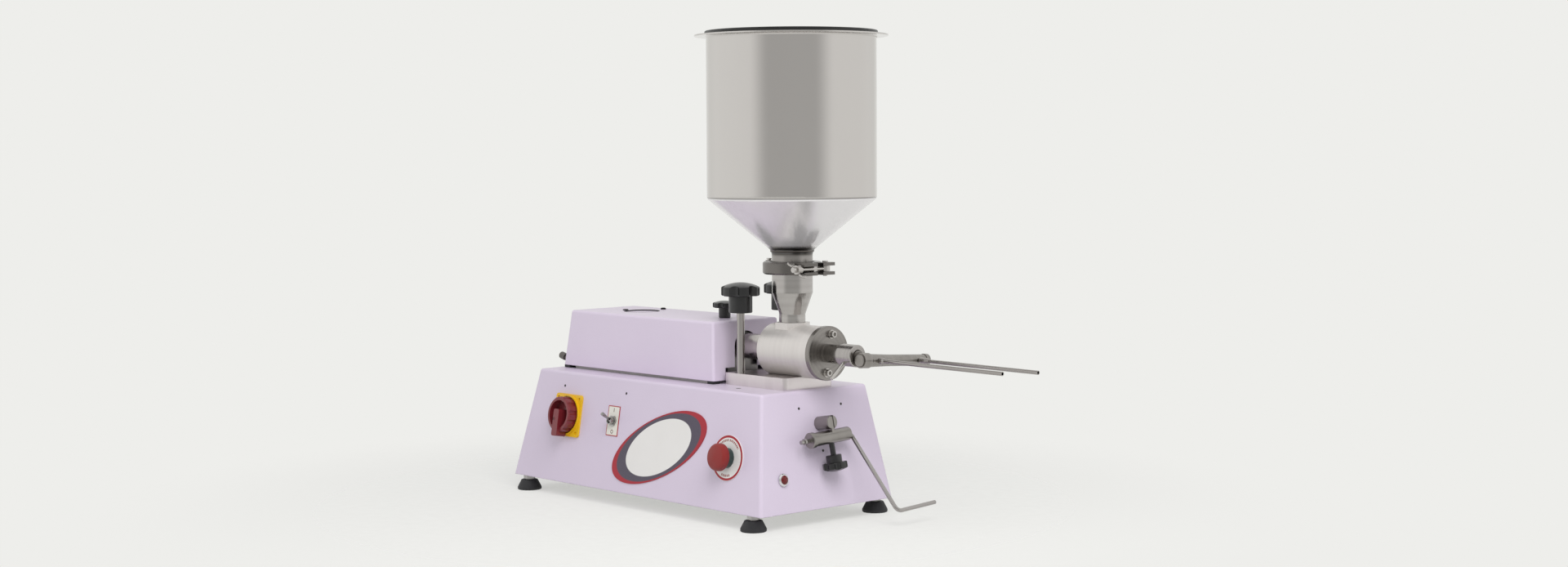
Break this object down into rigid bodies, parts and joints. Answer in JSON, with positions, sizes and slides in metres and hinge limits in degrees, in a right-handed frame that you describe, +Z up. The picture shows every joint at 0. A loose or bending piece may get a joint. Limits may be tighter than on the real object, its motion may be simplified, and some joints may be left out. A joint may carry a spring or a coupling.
{
  "type": "twin-needle cream injector",
  "caption": "Bench-top donut filler: hopper on a motor-driven piston pump, a cross manifold with filling needles and a trip lever on a leaning sheet housing.",
  "frame": {"origin": "on the bench under the middle of the base housing, midway between the four feet", "axes": "+X along the needles, +Y away from the control side, +Z up"},
  "size_m": [0.907, 0.2881, 0.7118],
  "materials": {
    "sheet": "satin lilac-grey sheet",
    "steel": "brushed",
    "hopper_steel": "polished, finely brushed",
    "bright_steel": "bright",
    "rubber": "matte black",
    "knob_black": "black, fine texture",
    "red_plastic": "semi-gloss red",
    "yellow_plastic": "semi-gloss yellow",
    "dark_plastic": "dark grey",
    "label_white": "printed plate",
    "brass": "nickel-free brass",
    "cast": "dark painted casting",
    "lens_red": "dark red lens",
    "lid_black": "black",
    "gasket": "white food-grade rubber"
  },
  "bodies": {
    "base": {"base_housing": "sheet", "bottom_plate": "steel", "foot_studs": "bright_steel", "housing_screws": "bright_steel", "isolator_plate": "yellow_plastic", "isolator_switch": "dark_plastic", "toggle_plate": "label_white", "toggle_switch": "bright_steel", "name_plate": "label_white", "estop_legend": "label_white", "estop_collar": "dark_plastic", "lamp_bezel": "bright_steel", "lamp_lens": "lens_red", "drive_frame": "cast", "gearmotor": "cast", "pump_plate": "steel", "pump_cylinder": "steel", "barrel_tube": "steel", "front_flange": "steel", "flange_bolts": "bright_steel", "hopper": "hopper_steel", "clamp_gasket": "gasket", "reducer": "steel", "clamp_halves": "steel", "clamp_bolt_and_pins": "bright_steel", "trip_switch": "dark_plastic"},
    "lid": {"hopper_lid": "lid_black"},
    "foot_front_near": {"foot_pad_front_near": "rubber"},
    "foot_front_far": {"foot_pad_front_far": "rubber"},
    "foot_rear_near": {"foot_pad_rear_near": "rubber"},
    "foot_rear_far": {"foot_pad_rear_far": "rubber"},
    "isolator": {"isolator_handle": "red_plastic"},
    "toggle": {"toggle_lever": "bright_steel"},
    "stop_stem": {"estop_plunger": "dark_plastic"},
    "stop_button": {"estop_head": "red_plastic"},
    "cover": {"drive_cover": "sheet", "cover_pads": "rubber", "cover_screws": "bright_steel"},
    "cover_nut": {"cover_knob": "knob_black"},
    "screw_near": {"clamp_rod_near": "bright_steel", "clamp_knob_near": "knob_black"},
    "screw_far": {"clamp_rod_far": "bright_steel", "clamp_knob_far": "knob_black"},
    "wing": {"wing_nut": "bright_steel"},
    "lock": {"lock_collar": "steel", "tommy_bar": "bright_steel"},
    "outlet": {"manifold": "steel", "manifold_caps": "steel", "needle_near": "bright_steel", "needle_far": "bright_steel"},
    "crank": {"crank_disc": "steel"},
    "slider": {"crosshead": "brass", "piston_rod": "bright_steel", "piston": "steel", "piston_seals": "gasket"},
    "link": {"conn_rod": "steel"},
    "trip": {"trip_shaft": "steel", "trip_clamp": "steel"},
    "trip_bar": {"trip_rod": "bright_steel"},
    "trip_screw": {"trip_knob": "knob_black"}
  },
  "joints": [
    {"name": "isolator_turn", "type": "hinge", "parent": "base", "child": "isolator", "pos_m": [-0.1725, -0.11495, 0.1265], "axis": [0, -0.9867, 0.1625], "range_deg": [-90, 0]},
    {"name": "toggle_flip", "type": "hinge", "parent": "base", "child": "toggle", "pos_m": [-0.059, -0.12022, 0.12839], "axis": [1, 0, 0], "range_deg": [0, 56]},
    {"name": "stop_press", "type": "slide", "parent": "base", "child": "stop_stem", "axis": [0, 0.9867, -0.1625], "range_m": [0, 0.004], "stiffness_N_per_m": 1500},
    {"name": "stop_twist", "type": "hinge", "parent": "stop_stem", "child": "stop_button", "pos_m": [0.213, -0.11953, 0.0987], "axis": [0, -0.9867, 0.1625], "range_deg": [0, 45], "stiffness_Nm_per_rad": 0.05},
    {"name": "cover_lift", "type": "slide", "parent": "base", "child": "cover", "axis": [0, 0, 1], "range_m": [0, 0.12]},
    {"name": "lid_lift", "type": "slide", "parent": "base", "child": "lid", "axis": [0, 0, 1], "range_m": [0, 0.1]},
    {"name": "cover_knob_turn", "type": "hinge", "parent": "cover", "child": "cover_nut", "pos_m": [0.07, 0, 0.286], "axis": [0, 0, 1], "continuous": true},
    {"name": "clamp_screw_near_turn", "type": "hinge", "parent": "base", "child": "screw_near", "pos_m": [0.1548, -0.0423, 0.25], "axis": [0, 0, 1], "continuous": true},
    {"name": "clamp_screw_far_turn", "type": "hinge", "parent": "base", "child": "screw_far", "pos_m": [0.1548, 0.0423, 0.25], "axis": [0, 0, 1], "continuous": true},
    {"name": "wing_nut_turn", "type": "hinge", "parent": "base", "child": "wing", "pos_m": [0.2737, -0.037, 0.368], "axis": [0, 1, 0], "continuous": true},
    {"name": "lock_collar_turn", "type": "hinge", "parent": "base", "child": "lock", "pos_m": [0.34, 0, 0.247], "axis": [1, 0, 0], "continuous": true},
    {"name": "outlet_turn", "type": "hinge", "parent": "base", "child": "outlet", "pos_m": [0.34, 0, 0.247], "axis": [1, 0, 0], "range_deg": [-90, 90]},
    {"name": "crank_turn", "type": "hinge", "parent": "base", "child": "crank", "pos_m": [-0.13, 0, 0.23], "axis": [0, 0, 1], "continuous": true},
    {"name": "piston_slide", "type": "slide", "parent": "base", "child": "slider", "axis": [1, 0, 0], "range_m": [0, 0.08]},
    {"name": "conn_rod_swing", "type": "hinge", "parent": "slider", "child": "link", "pos_m": [-0.02, 0, 0.247], "axis": [0, 0, 1], "range_deg": [-15, 15]},
    {"name": "trip_lever_swing", "type": "hinge", "parent": "base", "child": "trip", "pos_m": [0.27709, 0, 0.1439], "axis": [0.9867, 0, 0.1625], "range_deg": [-8, 8], "stiffness_Nm_per_rad": 4, "springref_deg": 0.74},
    {"name": "trip_bar_swivel", "type": "hinge", "parent": "trip", "child": "trip_bar", "pos_m": [0.30023, 0.00117, 0.12646], "axis": [-0.0091, 0.9984, 0.0551], "range_deg": [-4, 30]},
    {"name": "trip_knob_turn", "type": "hinge", "parent": "trip", "child": "trip_screw", "pos_m": [0.30023, 0.00117, 0.12646], "axis": [-0.1623, -0.0558, 0.9852], "continuous": true},
    {"name": "foot_front_near_turn", "type": "hinge", "parent": "base", "child": "foot_front_near", "pos_m": [0.2695, -0.1213, 0], "axis": [0, 0, 1], "continuous": true},
    {"name": "foot_front_far_turn", "type": "hinge", "parent": "base", "child": "foot_front_far", "pos_m": [0.2695, 0.1213, 0], "axis": [0, 0, 1], "continuous": true},
    {"name": "foot_rear_near_turn", "type": "hinge", "parent": "base", "child": "foot_rear_near", "pos_m": [-0.2695, -0.1213, 0], "axis": [0, 0, 1], "continuous": true},
    {"name": "foot_rear_far_turn", "type": "hinge", "parent": "base", "child": "foot_rear_far", "pos_m": [-0.2695, 0.1213, 0], "axis": [0, 0, 1], "continuous": true}
  ]
}
